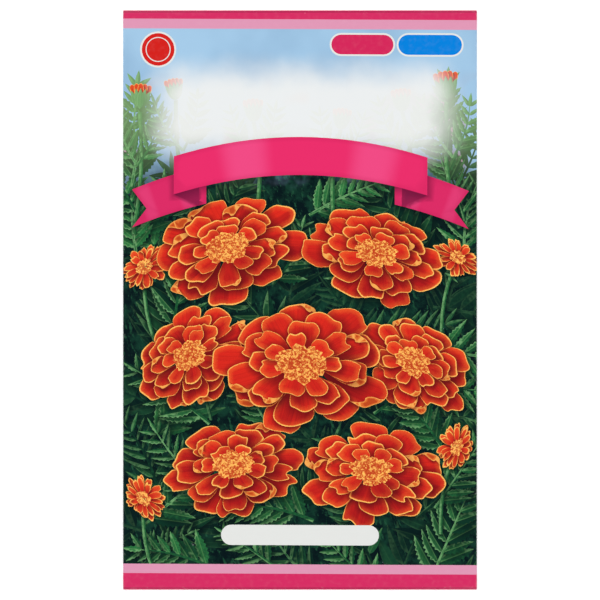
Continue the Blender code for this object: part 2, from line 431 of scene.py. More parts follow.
# The blossoms' places
# Seven full blossoms lie in a loose ring low on the front, with small daisies between them.
# Each blossom is its centre and radius in millimetres, how far it is tipped from face on, and
# the bearing that it is tipped towards. They are listed here because leaves give way to them.
full_blossoms = [
    ((-20.0, 14.5), 21.5, 0.32, 105),
    ((21.0, 13.0), 20.5, 0.34, 75),
    ((-30.5, -15.5), 18.5, 0.28, 130),
    ((31.5, -17.0), 18.0, 0.28, 60),
    ((-18.0, -45.5), 20.0, 0.32, 100),
    ((20.0, -47.0), 20.5, 0.30, 80),
    ((0.5, -17.5), 24.5, 0.24, 90),
]
daisies = [
    ((-43.0, 9.0), 7.5, 0.25, 130),
    ((43.5, 12.0), 7.0, 0.30, 60),
    ((43.5, -40.5), 7.0, 0.28, 340),
    ((-43.0, -55.0), 7.0, 0.28, 220),
]
well_inside = 0.72


def hidden_by_blossom(point):
    """True where a full blossom covers a place well inside its rim."""
    return any(math.dist(point, centre) < radius * well_inside for centre, radius, _, _ in full_blossoms)


# The leaves
# Ferny sprays: each has a thin curved rib with pairs of slender, pointed leaflets. Three banks
# of them lie over one another, dim at the back and bright in front, with a pale vein in each.
leaf_ink, start, at = start_ink("leaf_green")
along, across, rim = start.attribute("place").parts()
tone, depth, shade = start.attribute("tint").parts()
uneven = at.noise(0.9, 3.0, 0.6)
near_tone = (tone + (uneven - 0.5) * 0.9).between(0.1, 1.15)
near_leaf = near_tone.blend((0.003, 0.030, 0.017), (0.027, 0.185, 0.052))
far_tone = (tone + (uneven - 0.5)).between(0.0, 1.0)
far_leaf = far_tone.blend((0.001, 0.009, 0.010), (0.006, 0.038, 0.022))
off_vein = across.math("ABSOLUTE")
side_veins = ((along * 9.0 + off_vein * 0.9) * math.tau).math("SINE").between(0.5, 1.0)
edge = rim.between(0.36, 0.10) * across.between(-0.2, 0.2) * depth * uneven.between(0.30, 0.55)
glints = at.noise(1.5, 3.0, 0.7).between(0.66, 0.74) * depth * tone.between(0.4, 0.9)
finish_ink(
    start,
    at,
    depth.blend(far_leaf, near_leaf),
    (across.between(-0.15, 0.25) * depth * 0.30, (0.050, 0.255, 0.068)),
    (side_veins * 0.35 * depth, (0.004, 0.032, 0.016)),
    (off_vein.between(0.18, 0.06) * depth * 0.45, (0.13, 0.34, 0.11)),
    (edge * 0.75, (0.18, 0.39, 0.16)),
    (glints * 0.55, (0.24, 0.46, 0.22)),
    (shade * 0.92, (0.001, 0.006, 0.007)),
    (at.parts()[1].between(28.0, 56.0) * 0.52, (0.30, 0.50, 0.22)),
)

leaflet_points = 5
pairs_of_leaflets = 8
bank_left = -48
bank_width = 96
bank_foot = -86
bank_height = 118
open_sky_foot = 36
open_sky_half = 34
draw = random.Random(17)


def direction(angle):
    return np.array([math.cos(angle), math.sin(angle)])


def leaflet_outline(length, width, teeth=0):
    """A slender leaf, widest a third of the way up, with a drawn-out point and, if it lies near,
    a toothed edge."""
    steps = 2 * teeth if teeth else leaflet_points
    shares = np.linspace(0, 1, steps + 2)[1:-1]
    half = width / 2 * np.sin(math.pi * shares**0.72) ** 0.9
    if teeth:
        half[0::2] *= 1.22
        half[1::2] *= 0.84
    up = [(0, 0)] + list(zip(shares * length, half)) + [(length, 0)]
    return up + [(along, -across) for along, across in up[-2:0:-1]]


def stalk_outline(middle, normals, halves):
    """Both edges of a stalk, each half its width off its middle line."""
    left = [point + normal * half for point, normal, half in zip(middle, normals, halves)]
    right = [point - normal * half for point, normal, half in zip(middle, normals, halves)]
    return left + right[::-1]


def lay_spray(base, angle, length, pairs, bend, tone, depth, shadow):
    """One spray: leaflets in pairs up a curved rib, shorter towards the tip, and one at the end."""
    breadth = draw.uniform(0.18, 0.33)
    clump = 0.26 * math.sin(base[0] * 0.16 + 2.2 * math.sin(base[1] * 0.11)) - 0.08
    rib = [np.asarray(base, float)]
    headings = [angle]
    for _ in range(pairs):
        headings.append(headings[-1] + bend / pairs)
        rib.append(rib[-1] + length / pairs * direction(headings[-1]))
    for number in range(1, pairs + 1):
        leaflet = length * (0.50 - 0.26 * number / pairs) * draw.uniform(0.85, 1.12)
        for side in (1, -1) if number < pairs else (1, -1, 0):
            heading = headings[number] + math.radians(draw.uniform(38, 54)) * side
            tip = rib[number] + leaflet * direction(heading)
            if hidden_by_blossom(tip) and hidden_by_blossom(rib[number]):
                continue
            teeth = round(leaflet * 0.75) if depth == 1.0 and leaflet > 5 else 0
            outline = leaflet_outline(leaflet, leaflet * breadth * draw.uniform(0.9, 1.1), teeth)
            outline = turned(outline, rib[number], heading)
            shine = min(max(tone + clump + draw.uniform(-0.36, 0.36), 0), 1)
            lay(leaf_ink, outline, (rib[number], tip), (shine, depth, 0), (), shadow)
    half = 0.22 + 0.012 * length
    normals = [np.array([-math.sin(heading), math.cos(heading)]) for heading in headings]
    halves = [half * (1 - 0.7 * number / pairs) for number in range(pairs + 1)]
    lay(leaf_ink, stalk_outline(rib, normals, halves), (rib[0], rib[-1]), (tone, depth, 0))


# Each bank: how many sprays across and up, length of a spray, tone, depth and shadow reach
for columns, rows, length, tone, depth, shadow in (
    (5, 6, 30.0, 0.50, 0.10, 0.0),
    (5, 6, 26.0, 0.35, 0.45, 1.5),
    (5, 6, 22.0, 0.52, 1.0, 1.9),
):
    for column in range(columns):
        for row in range(rows):
            x = bank_left + bank_width * (column + 0.5 + draw.uniform(-0.4, 0.4)) / columns
            y = bank_foot + bank_height * (row + 0.5 + draw.uniform(-0.4, 0.4)) / rows
            heading = math.radians(90 - x * 0.8 + draw.uniform(-80, 80))
            size = length * draw.uniform(0.7, 1.15)
            if y + size * math.sin(heading) > open_sky_foot and abs(x) < open_sky_half:
                continue
            bend = draw.uniform(-0.6, 0.6)
            lay_spray((x, y), heading, size, pairs_of_leaflets, bend, tone, depth, shadow)
# More stand up at both sides, against the sky
for level in (12.0, 22.0, 31.0, 40.0):
    for side in (-1, 1):
        heading = math.radians(90 - side * draw.uniform(-25, 25))
        foot = (side * draw.uniform(41.0, 47.0), level)
        length = draw.uniform(17, 22)
        lay_spray(foot, heading, length, pairs_of_leaflets, draw.uniform(-0.5, 0.5), 0.45, 1.0, 1.2)


# The stems and buds
# A few upright stems carry round green buds, just opening, up into the sky on either side.
stem_points = 7
# Each bud: foot and top of its stem, sway, and the bud's length
buds = [
    ((44.0, 20.0), (40.5, 55.5), 2.0, 8.5),
    ((30.0, 26.0), (28.0, 52.0), -1.5, 7.0),
    ((-46.0, 18.0), (-44.5, 52.5), -1.2, 7.5),
    ((-30.0, 24.0), (-34.5, 55.0), 1.5, 6.5),
    ((9.0, 24.0), (11.0, 47.0), 1.0, 6.5),
    ((-12.0, 24.0), (-13.0, 49.0), -1.2, 7.0),
]


def lay_stem(foot, top, width, sway, tone):
    """A stem that sways to one side between its foot and its top."""
    rise = np.subtract(top, foot)
    side = np.array([-rise[1], rise[0]]) / math.dist(foot, top)
    shares = np.linspace(0, 1, stem_points)
    middle = [foot + rise * share + side * sway * math.sin(math.pi * share) for share in shares]
    outline = stalk_outline(middle, [side] * stem_points, [width / 2] * stem_points)
    lay(leaf_ink, outline, middle, (tone, 1.0, 0), (), 0.8)


def bearing_of(foot, top):
    return math.atan2(top[1] - foot[1], top[0] - foot[0])


for foot, top, sway, length in buds:
    lay_stem(foot, top, 1.1, sway, 0.7)
    for side in (1, -1):
        leaf_base = (foot[0] * 0.45 + top[0] * 0.55, foot[1] * 0.45 + top[1] * 0.55)
        lay_spray(leaf_base, bearing_of(foot, top) + 0.7 * side, 15.0, 6, -0.5 * side, 0.7, 1.0, 1.0)


# The blossoms
# Full blossoms of broad, overlapping petals in rings, deep red with a fine golden rim, round a
# heart of small golden florets. Petals are drawn from the outermost ring inward, each shading
# the one under it. The daisies have one double ring of narrow petals.
petal_ink, start, at = start_ink("petal_red")
along, across, rim = start.attribute("place").parts()
tone, lean, shade = start.attribute("tint").parts()
whim = (tone * 91.7).math("FRACT")
fine = at.noise(2.0, 3.0, 0.65)
streak = start.vector(across * 2.6, along * 1.5, tone * 40.0).noise(1.0, 4.0, 0.7)
crease = (across + (streak - 0.5) * 1.2).between(-0.35, 0.35) - 0.5
lit = tone + (streak - 0.5) * 1.1 + across * lean * 0.12 + crease * (whim - 0.25) * 0.8
veins = (across * 5.5 + streak * 3.0).math("SINE").between(0.55, 1.0) * along.between(0.1, 0.5)
warm = (rim + (fine - 0.5) * 1.4).between(1.9, 0.1) * along.between(0.2, 0.9) * tone.between(-0.4, 0.9)
feather = start.vector(across * 6.0, along * 1.2, tone * 23.0).noise(1.0, 3.0, 0.6)
rim_breadth = along.between(0.50, 1.0) * (whim * 0.95 - 0.05) + 0.32
edge = (rim + (fine - 0.5) * 0.35 + (feather - 0.5) * 0.55) / rim_breadth
golden = edge.between(0.50, 0.16) * along.between(0.12, 0.6)
bright = edge.between(0.44, 0.10) * along.between(0.3, 0.85) * (1.0 - shade)
finish_ink(
    start,
    at,
    lit.between(-0.3, 1.3).blend((0.32, 0.007, 0.010), (0.68, 0.022, 0.012)),
    (veins * 0.15, (0.26, 0.006, 0.007)),
    (warm * 0.68, (0.82, 0.115, 0.024)),
    (along.between(0.50, 0.05) * 0.42, (0.20, 0.005, 0.008)),
    (shade * 0.90, (0.080, 0.003, 0.006)),
    (golden * (0.90 - shade * 0.5), (0.88, 0.25, 0.042)),
    (bright * 0.92, (0.98, 0.54, 0.13)),
)

floret_ink, start, at = start_ink("floret_gold")
_, _, rim = start.attribute("place").parts()
tone, ring, shade = start.attribute("tint").parts()
frills = (at.noise(1.0, 2.0, 0.6) * 20.0).math("SINE") * ring.between(0.02, 0.10)
finish_ink(
    start,
    at,
    tone.between(0.0, 1.0).blend((0.54, 0.060, 0.014), (0.88, 0.27, 0.045)),
    (rim.between(0.24, 0.04) * tone.between(0.0, 0.7), (0.97, 0.51, 0.12)),
    (rim.between(0.30, 0.50) * 0.75, (0.42, 0.035, 0.008)),
    (frills.between(-0.1, -0.9) * 0.80, (0.50, 0.050, 0.014)),
    (frills.between(0.1, 0.9) * 0.75, (0.98, 0.53, 0.12)),
    (shade * 0.75, (0.22, 0.018, 0.008)),
)

petal_points = 32
light_bearing = math.radians(115)
golden_angle = math.pi * (3 - math.sqrt(5))
curled_share = 0.24
curl_points = 10
rim_width = 0.45
blush_width = 2.0
floret_share = 0.052


def petal_outline(length, width, fullness, notch=0.0, bend=0.0, ruffle=0.0):
    """A petal along X, narrow at its foot and broad near its blunt tip. It may be bent to one
    side, with a notch in its tip and a ruffled edge. Its points lie closest at the tip."""
    turns = np.linspace(0, math.tau, petal_points, endpoint=False)
    turns += 0.42 * np.sin(turns)
    along = (0.5 - 0.5 * np.cos(turns)) ** 0.9
    spread = (along + 0.08) ** fullness
    across = np.sign(np.sin(turns)) * abs(np.sin(turns)) ** 0.85 * spread / spread.max()
    phase = draw.uniform(0, math.tau)
    swell = 1 + ruffle * along * (np.sin(2 * turns + phase) + 0.6 * np.sin(5 * turns + 3 * phase))
    slant = draw.uniform(-0.35, 0.35)
    gap = notch * np.exp(-(((turns - math.pi - slant) / 0.24) ** 2))
    x = length * (along * (1 + ruffle * 0.5 * np.sin(6 * turns + phase)) - gap)
    return np.stack([x, width / 2 * across * swell + bend * length * along**2], axis=1)


def inset(outline, distance):
    """The outline moved inward all round, or outward where the distance is negative."""
    after = np.roll(outline, -1, axis=0)
    tangent = after - np.roll(outline, 1, axis=0)
    tangent /= np.linalg.norm(tangent, axis=1, keepdims=True) + 1e-9
    inward = np.stack([-tangent[:, 1], tangent[:, 0]], axis=1)
    area = np.sum(outline[:, 0] * after[:, 1] - after[:, 0] * outline[:, 1])
    return outline + inward * distance * np.sign(area)


def tipped(points, centre, tip, bearing):
    """Foreshortens points about a blossom's centre, as it tips away towards a bearing."""
    away = direction(bearing)
    offset = np.asarray(points, float) - centre
    return offset - np.outer(offset @ away, away) * tip + centre


def lay_curl(outline, side, broad):
    """Turns over one side of a petal's edge, near its tip, so that its paler underside shows."""
    tip = petal_points // 2
    start = tip + 1 - curl_points if side > 0 else tip
    span = slice(start, start + curl_points)
    edge = outline[span]
    inward = (inset(outline, 1.0) - outline)[span]
    rolled = np.sin(np.linspace(0, math.pi, len(edge)))[:, None] * broad * draw.uniform(0.10, 0.20)
    inner = edge + inward * rolled
    lay(floret_ink, np.concatenate([edge, inner[-2:0:-1]]), None, (0.42, 0.0, 0), (), 0.7)


def lay_ring(centre, radius, tip, bearing, ring, mood=0.0):
    """One ring of petals round a blossom. A ring is: petals, reach, foot, width, fullness, place.
    mood makes the whole ring lighter or darker."""
    count, reach, foot, width, fullness, place = ring
    start_angle = draw.uniform(0, math.tau)
    order = sorted(range(count), key=lambda i: (i % 2, draw.random()))
    for number in order:
        angle = start_angle + math.tau * (number + draw.uniform(-0.22, 0.22)) / count
        nearer = -math.cos(angle - bearing) * tip
        length = radius * (reach - foot) * draw.uniform(0.84, 1.06) * (1 + 0.45 * nearer)
        broad = radius * width * draw.uniform(0.82, 1.18)
        base = centre + radius * foot * direction(angle)
        notch = max(0.0, draw.uniform(-0.06, 0.12))
        bend = draw.uniform(-0.10, 0.10)
        outline = petal_outline(length, broad, fullness, notch, bend, draw.uniform(0.02, 0.09))
        spine = [(0, 0), (length * 0.5, bend * length * 0.25), (length, bend * length)]
        outline = tipped(turned(outline, base, angle), centre, tip, bearing)
        spine = tipped(turned(spine, base, angle), centre, tip, bearing)
        tone = 0.55 + 0.22 * math.cos(angle - light_bearing) + draw.uniform(-0.25, 0.25) + 0.15 * place
        lean = math.sin(light_bearing - angle)
        contours = [inset(outline, rim_width), inset(outline, min(blush_width, broad * 0.3))[::2]]
        cast = radius * draw.uniform(0.05, 0.12)
        lay(petal_ink, outline, spine, (tone + mood, lean, 0), contours, cast)
        if draw.random() < curled_share * (1 - place):
            lay_curl(outline, draw.choice((1, -1)), broad)


def lay_florets(centre, radius, tip, bearing, heart, count):
    """The heart: small florets set in a spiral, those at the middle smallest and drawn last."""
    for number in range(count, 0, -1):
        share = math.sqrt(number / count)
        angle = number * golden_angle + draw.uniform(-0.12, 0.12)
        middle = centre + radius * heart * share * direction(angle)
        size = radius * floret_share * (0.80 + 0.45 * share) * draw.uniform(0.75, 1.35)
        turns = np.linspace(0, math.tau, 7, endpoint=False) + draw.uniform(0, 1)
        reach = size * (1 + 0.30 * np.cos(2 * (turns - angle)) + draw.uniform(-0.1, 0.1))
        outline = np.stack([reach * np.cos(turns), reach * np.sin(turns)], axis=1) + middle
        tone = 0.20 + 0.55 * share + draw.uniform(-0.35, 0.35)
        lay(floret_ink, tipped(outline, centre, tip, bearing), None, (tone, share, 0))


def lay_blossom(blossom, rings, heart, florets, mood=0.0):
    """A whole blossom: its rings of petals from the rim inward, and its heart."""
    centre, radius, tip, bearing = blossom
    for ring in rings:
        lay_ring(centre, radius, tip, math.radians(bearing), ring, mood)
    lay_florets(centre, radius, tip, math.radians(bearing), heart, florets)


# Each ring: petals, reach of the tips, place of the feet, width, fullness, place from rim to heart
full_rings = [
    (9, 1.00, 0.26, 0.66, 0.80, 0.0),
    (9, 0.83, 0.20, 0.54, 0.75, 0.15),
    (8, 0.66, 0.15, 0.44, 0.70, 0.35),
    (7, 0.49, 0.12, 0.34, 0.65, 0.6),
]
daisy_rings = [
    (13, 1.00, 0.18, 0.36, 0.42, 0.1),
    (12, 0.88, 0.16, 0.32, 0.42, 0.3),
]
for daisy in daisies:
    (x, y), *_ = daisy
    lay_stem((x * 0.9, y - 24), (x, y), 1.0, 1.5, 0.55)
    lay_blossom(daisy, daisy_rings, 0.30, 46)
for blossom in full_blossoms:
    lay_blossom(blossom, full_rings, 0.225, 64, draw.uniform(-0.15, 0.10))


# The buds on their stems
# Each bud is a green cup of narrow scales with a tuft of red petals showing at the top.
scale_share = 0.78
for foot, top, sway, length in buds:
    for splay in (-0.38, 0.38, -0.18, 0.18, 0.0):
        heading = bearing_of(foot, top) + splay
        petal = turned(petal_outline(length * 0.95, length * 0.30, 0.5), top, heading)
        spine = (top, top + direction(heading) * length)
        lay(petal_ink, petal, spine, (0.6, 0.5, 0), [inset(petal, 0.35)], 0.5)
    for splay in (-0.50, 0.50, -0.24, 0.24, 0.0):
        heading = bearing_of(foot, top) + splay
        scale = turned(leaflet_outline(length * scale_share, length * 0.26), top, heading)
        spine = (top, top + direction(heading) * length * scale_share)
        lay(leaf_ink, scale, spine, (0.85, 1.0, 0), (), 0.4)


# The ribbon
# A plain banner in deep pink: a gently arched band with a tail folded behind it at each end,
# each tail cut to a swallow's fork. A soft sheen runs across it, and it is dark in its folds.
ribbon_ink, start, at = start_ink("ribbon_pink")
along, _, rim = start.attribute("place").parts()
tone, sheen, shade = start.attribute("tint").parts()
shine = ((along * 2.0 - 0.32) * math.tau).math("SINE").between(0.1, 1.0) * sheen
finish_ink(
    start,
    at,
    tone.between(0.0, 1.0).blend((0.21, 0.012, 0.060), (0.76, 0.025, 0.135)),
    (shine * 0.42, (0.86, 0.115, 0.32)),
    (rim.between(1.6, 0.1) * 0.25, (0.45, 0.010, 0.075)),
    (shade * 0.8, (0.10, 0.004, 0.030)),
    clouded=False,
)

ribbon_half = 35.0
ribbon_height = 10.5
ribbon_foot = 29.0
ribbon_rise = 5.5
tail_drop = 5.0
tail_start = 26.0
tail_end = 46.5
fold_length = 7.0
fork = 4.0


def ribbon_point(x, up=0.0, drop=0.0):
    """A place on the arched banner, from its lower edge, where up is 0, to its upper, at 1."""
    return (x, ribbon_foot + ribbon_rise * (1 - (x / ribbon_half) ** 2) - drop + ribbon_height * up)


def ribbon_lines(start, end, points, drop=0.0):
    """The lower edge, the middle and the upper edge of a stretch of the banner."""
    xs = np.linspace(start, end, points)
    return [[ribbon_point(x, up, drop) for x in xs] for up in (0.0, 0.5, 1.0)]


for side in (-1, 1):
    lower, middle, upper = ribbon_lines(side * tail_start, side * tail_end, 9, tail_drop)
    notch = (middle[-1][0] - side * fork, middle[-1][1])
    lay(ribbon_ink, lower + [notch] + upper[::-1], middle, (0.72, 0.5, 0), (), 1.8)
    corner = ribbon_point(side * ribbon_half)
    fold_end = ribbon_point(side * (ribbon_half - fold_length))
    under = ribbon_point(side * (ribbon_half - fold_length), 0.0, tail_drop)
    lay(ribbon_ink, [corner, fold_end, under], [corner, under], (0.05, 0.0, 0), (), 0.6)
lower, middle, upper = ribbon_lines(-ribbon_half, ribbon_half, 21)
lay(ribbon_ink, lower + upper[::-1], middle, (0.95, 1.0, 0), (), 2.2)


# The bands and labels
# Two pink bands close the picture at the top and the foot. Three rounded labels and a round
# badge are printed flat over it, the coloured ones with a pale outline, and are left bare.
flat_ink, start, at = start_ink("flat_colour")
press = at.noise(0.7, 3.0).between(0.40, 0.9) * 0.03
finish_ink(start, at, press.blend(start.attribute("tint", "Color"), white), clouded=False)

dark_pink = (0.625, 0.024, 0.115)
light_pink = (0.690, 0.288, 0.430)
label_white = (0.72, 0.73, 0.71)
label_pink = (0.608, 0.019, 0.095)
label_blue = (0.001, 0.205, 0.670)
badge_red = (0.605, 0.014, 0.011)
top_dark = 77.5
top_light = 74.8
foot_light = -73.0
foot_dark = -75.6
badge_centre = (-39.5, 69.0)
badge_radii = ((5.0, label_white), (4.5, badge_red), (3.45, label_white), (3.2, badge_red))


def lay_box(left, right, foot, top, colour):
    lay(flat_ink, box_outline(left, right, foot, top), None, colour)


def lay_round(centre, width, height, colour, steps=6, radius=None):
    """A rectangle with round corners. Unless a radius is given, its short sides are half circles."""
    radius = radius or min(width, height) / 2
    outline = []
    for corner, (sx, sy) in enumerate(((1, -1), (1, 1), (-1, 1), (-1, -1))):
        for step in range(steps + 1):
            angle = math.tau / 4 * (corner - 1 + step / steps)
            x = centre[0] + sx * (width / 2 - radius) + radius * math.cos(angle)
            y = centre[1] + sy * (height / 2 - radius) + radius * math.sin(angle)
            outline.append((x, y))
    lay(flat_ink, outline, None, colour)


for foot, top, colour in (
    (top_light, top_dark, light_pink),
    (top_dark, front_half_height, dark_pink),
    (foot_dark, foot_light, light_pink),
    (-front_half_height, foot_dark, dark_pink),
):
    lay_box(-front_half_width, front_half_width, foot, top, colour)
# Each label: centre, width, height, colour, and the width of its pale outline
for centre, width, height, colour, outline in (
    ((16.9, 70.6), 18.1, 6.4, label_pink, 0.48),
    ((35.6, 70.6), 18.5, 6.5, label_blue, 0.48),
    ((0.3, -64.9), 43.6, 5.6, label_white, 0.0),
):
    if outline:
        lay_round(centre, width, height, label_white)
    lay_round(centre, width - 2 * outline, height - 2 * outline, colour)
for radius, colour in badge_radii:
    lay_round(badge_centre, 2 * radius, 2 * radius, colour, 8)


# The back's print
# The back carries a plain sowing calendar on its outer panel: numbered months over coloured
# bars, with ruled lines under it. The inner panel has four simple signs, each beside its lines.
# All of it is printed straight.
skew = 0.0
ink_green = (0.045, 0.23, 0.085)
pale_green = (0.55, 0.72, 0.45)
month_green = (0.80, 0.84, 0.76)
pale_line = (0.50, 0.52, 0.50)
bar_blue = (0.10, 0.36, 0.70)
bar_pink = (0.75, 0.08, 0.20)
bar_gold = (0.86, 0.42, 0.05)
sheet_mm = sheet_side / MM
tongue_mm = tongue_end / MM
margin = 5.0
back_start = (side_line + side_turn) / MM
calendar_left = back_start + margin
months = 12
month_width = 3.6
calendar_top = 30.0
head_height = 4.6
row_height = 6.0
rule_thickness = 0.22
calendar_right = calendar_left + months * month_width
head_foot = calendar_top - head_height
calendar_foot = head_foot - 4 * row_height
digit_height = 2.5
bar_height = 2.6
notes_top = calendar_foot - 8.0
notes_spacing = 5.2
panel_level = 48.0
panel_height = 24.0
panel_corner = 3.0
sign_x = -back_start - 31.0
sign_size = 10.0
sign_levels = (48.0, 24.0, 0.0, -24.0)
sign_lines_left = sign_x + 9.0
sign_line_spacing = 3.2


def lay_digits(text, centre, height, colour):
    """Prints a number, each filled triangle of its figures as one small shape."""
    holder = add_object("digits", bpy.data.curves.new("digits", "FONT"))
    curve = holder.data
    curve.body = text
    curve.size = height
    curve.resolution_u = 2
    curve.align_x = "CENTER"
    curve.align_y = "CENTER"
    bpy.context.view_layer.update()
    mesh = holder.to_mesh()
    mesh.calc_loop_triangles()
    for triangle in mesh.loop_triangles:
        corners = [mesh.vertices[i].co for i in triangle.vertices]
        lay(flat_ink, [(c.x + centre[0], c.y + centre[1]) for c in corners], None, colour)
    holder.to_mesh_clear()
    bpy.data.objects.remove(holder, do_unlink=True)
    bpy.data.curves.remove(curve)


def lay_rule(left, right, foot):
    lay_box(left, right, foot, foot + rule_thickness, pale_line)


for side in (-1, 1):
    near_fold, far = sorted((side * front_half_width, side * sheet_mm))
    lay(paper_ink, box_outline(near_fold, far, -end_mm - 1, end_mm + 1))
for side in (-1, 1):
    near_fold, far = sorted((side * front_half_height, side * tongue_mm))
    lay(paper_ink, box_outline(-side_mm - 1, side_mm + 1, near_fold, far))
lay_box(calendar_left, calendar_right, head_foot, calendar_top, ink_green)
for month in range(months):
    left = calendar_left + month * month_width
    if month % 2:
        lay_box(left, left + month_width, calendar_foot, head_foot, month_green)
    middle = (left + month_width / 2, calendar_top - head_height / 2)
    lay_digits(str(month + 1), middle, digit_height, label_white)
for row in range(5):
    lay_rule(calendar_left, calendar_right, head_foot - row * row_height - rule_thickness)
# Each bar: its first month, months long, colour
bars = ((2, 3, bar_gold), (3, 3, ink_green), (5, 6, bar_pink), (7, 4, bar_blue))
for row, (first, long, colour) in enumerate(bars):
    middle = (calendar_left + (first + long / 2) * month_width, head_foot - (row + 0.5) * row_height)
    lay_round(middle, long * month_width, bar_height, colour, 4)
for line in range(6):
    lay_rule(calendar_left, calendar_right, notes_top - line * notes_spacing)
panel_middle = ((calendar_left + calendar_right) / 2, panel_level)
lay_round(panel_middle, months * month_width, panel_height, pale_green, radius=panel_corner)

for level, colour in zip(sign_levels, (bar_gold, bar_blue, ink_green, bar_pink)):
    lay_round((sign_x, level), sign_size, sign_size, colour, 8)
    for line in (1, 0, -1):
        lay_rule(sign_lines_left, -back_start - margin, level + line * sign_line_spacing)
# A sun, a drop, a sprout and a seed in the ground
sun_y, drop_y, sprout_y, ground_y = sign_levels
lay_round((sign_x, sun_y), 3.8, 3.8, label_white)
for ray in range(8):
    beam = turned(box_outline(2.5, 3.9, -0.25, 0.25), (sign_x, sun_y), ray * math.pi / 4)
    lay(flat_ink, beam, None, label_white)
drop_turns = np.linspace(0, math.tau, 20, endpoint=False)
drop = [(1.9 * math.sin(a) * math.sin(a / 2) ** 1.5, 2.9 * math.cos(a)) for a in drop_turns]
lay(flat_ink, np.array(drop) + (sign_x, drop_y + 0.3), None, label_white)
lay_box(sign_x - 0.2, sign_x + 0.2, sprout_y - 3.4, sprout_y + 1.2, label_white)
for heading in (0.6, math.pi - 0.6):
    blade = turned(leaflet_outline(3.6, 1.7), (sign_x, sprout_y + 0.2), heading)
    lay(flat_ink, blade, None, label_white)
lay_box(sign_x - 3.4, sign_x + 3.4, ground_y + 1.6, ground_y + 2.0, label_white)
lay_round((sign_x, ground_y - 1.4), 1.5, 2.6, label_white, 4)


# The envelope
# The printed sheet is cut to its outline, divided along every printed edge, folded up and given
# its thickness, so that front, sides, back and flaps are one closed piece of paper.
fold_steps = 8
corner_lines = 3
edge_step = 4.0
relief_step = 3.5
fold_clearance = 0.4
hidden_limit = 0.75
shadow_strength = 0.78
shadow_shift = np.array([0.25, -0.45])
quarters = (0.25, 0.5, 0.75, 1.0)
side_lines = [side_mm + side_turn / MM * share for share in np.linspace(0, 1, fold_steps + 1)]
end_lines = [end_mm + end_turn / MM * share for share in np.linspace(0, 1, fold_steps + 1)]
ramp_lines = [
    -(2 * side_line + side_turn + lap_width / 2 - lap_width - ramp_start - ramp_length * share) / MM
    for share in (0.0, *quarters)
]


def spaced(start, end, step):
    """Places from start to end, about a step apart, without the first and the last."""
    count = max(1, round(abs(end - start) / step))
    return [start + (end - start) * i / count for i in range(1, count)]


# Up the right of a tongue, the cut runs from the side fold out to the tongue's end and back. The
# tongues are a little wider than the front, so that the packet's corners come out square.
tongue_half = side_lines[corner_lines]
stations = {*side_lines, sheet_mm, *(-line for line in ramp_lines)}
right_shoulder = [(x, end_mm) for x in sorted(stations, reverse=True) if x >= tongue_half]
tongue_right = [(tongue_half, y) for y in end_lines[1:]]
tongue_right += [(tongue_half, end_lines[-1] + share * flap_length / MM) for share in quarters]
tongue_top = [(x, tongue_mm) for x in spaced(tongue_half, -tongue_half, edge_step)]
right_of_end = right_shoulder + tongue_right
upper_end = right_of_end + tongue_top + [(-x, y) for x, y in right_of_end[::-1]]
right_side = [(sheet_mm, y) for y in spaced(-end_mm, end_mm, edge_step)]
left_side = [(-sheet_mm, -y) for _, y in right_side]
lower_end = [(x, -y) for x, y in upper_end[::-1]]
cut_outline = np.array(lower_end + right_side + upper_end + left_side)

# The division follows the creases, so that folds stay straight and round, and takes in loose
# points all over the sheet, close enough for its bulge and waves to come out smooth
creases = []
for number, x in enumerate(side_lines):
    reach = end_mm if number > corner_lines else tongue_mm
    creases += [((x, -reach), (x, reach)), ((-x, -reach), (-x, reach))]
creases += [((x, -end_mm), (x, end_mm)) for x in ramp_lines]
for y in end_lines:
    creases += [((-tongue_half, y), (tongue_half, y)), ((-tongue_half, -y), (tongue_half, -y))]
relief = [
    (x, y)
    for x in np.arange(-sheet_mm + 2, sheet_mm - 1, relief_step)
    for y in np.arange(-end_mm + 2, end_mm - 1, relief_step)
    if min(abs(abs(x) - side_mm), abs(abs(x) - side_lines[-1])) > fold_clearance
]
relief += [
    (x, end * (end_lines[-1] + out))
    for x in np.arange(-side_mm + 2, side_mm - 1, relief_step)
    for out in (3.5, 7.0, 10.5)
    for end in (1, -1)
]


def covered(points, outline):
    """Which points lie inside a closed outline."""
    x, y = points[:, :1], points[:, 1:]
    start_x, start_y = outline.T
    end_x, end_y = np.roll(outline, -1, axis=0).T
    rise = np.where(end_y == start_y, 1, end_y - start_y)
    crossing = ((start_y > y) != (end_y > y)) & (x < start_x + (y - start_y) * (end_x - start_x) / rise)
    return crossing.sum(1) % 2 == 1


def finder(points):
    """Sorts points by height, and gives a function that finds those inside an outline."""
    order = np.argsort(points[:, 1])
    heights = points[order, 1]

    def inside(outline):
        low, high = outline.min(0), outline.max(0)
        level = order[np.searchsorted(heights, low[1]) : np.searchsorted(heights, high[1])]
        level = level[(points[level, 0] > low[0]) & (points[level, 0] < high[0])]
        return level[covered(points[level], outline)]

    return inside


def divided(loop, segments):
    """Divides the cut sheet into triangles along its edge, its creases and the given segments."""
    pairs = [np.stack([loop, np.roll(loop, -1, axis=0)], axis=1), np.array(creases), *segments]
    ends = np.round(np.concatenate(pairs).reshape(-1, 2), 5)
    ends, number = np.unique(ends, axis=0, return_inverse=True)
    edges = number.reshape(-1, 2)
    edges = edges[edges[:, 0] != edges[:, 1]]
    points = [Vector(point) for point in ends.tolist() + relief]
    places, _, triangles, _, _, _ = delaunay_2d_cdt(points, edges.tolist(), [], 0, 1e-5, False)
    places = np.array([tuple(place) for place in places])
    triangles = np.array(triangles)
    triangles = triangles[covered(places[triangles].mean(1), loop)]
    used, triangles = np.unique(triangles, return_inverse=True)
    return places[used], triangles.reshape(-1, 3)


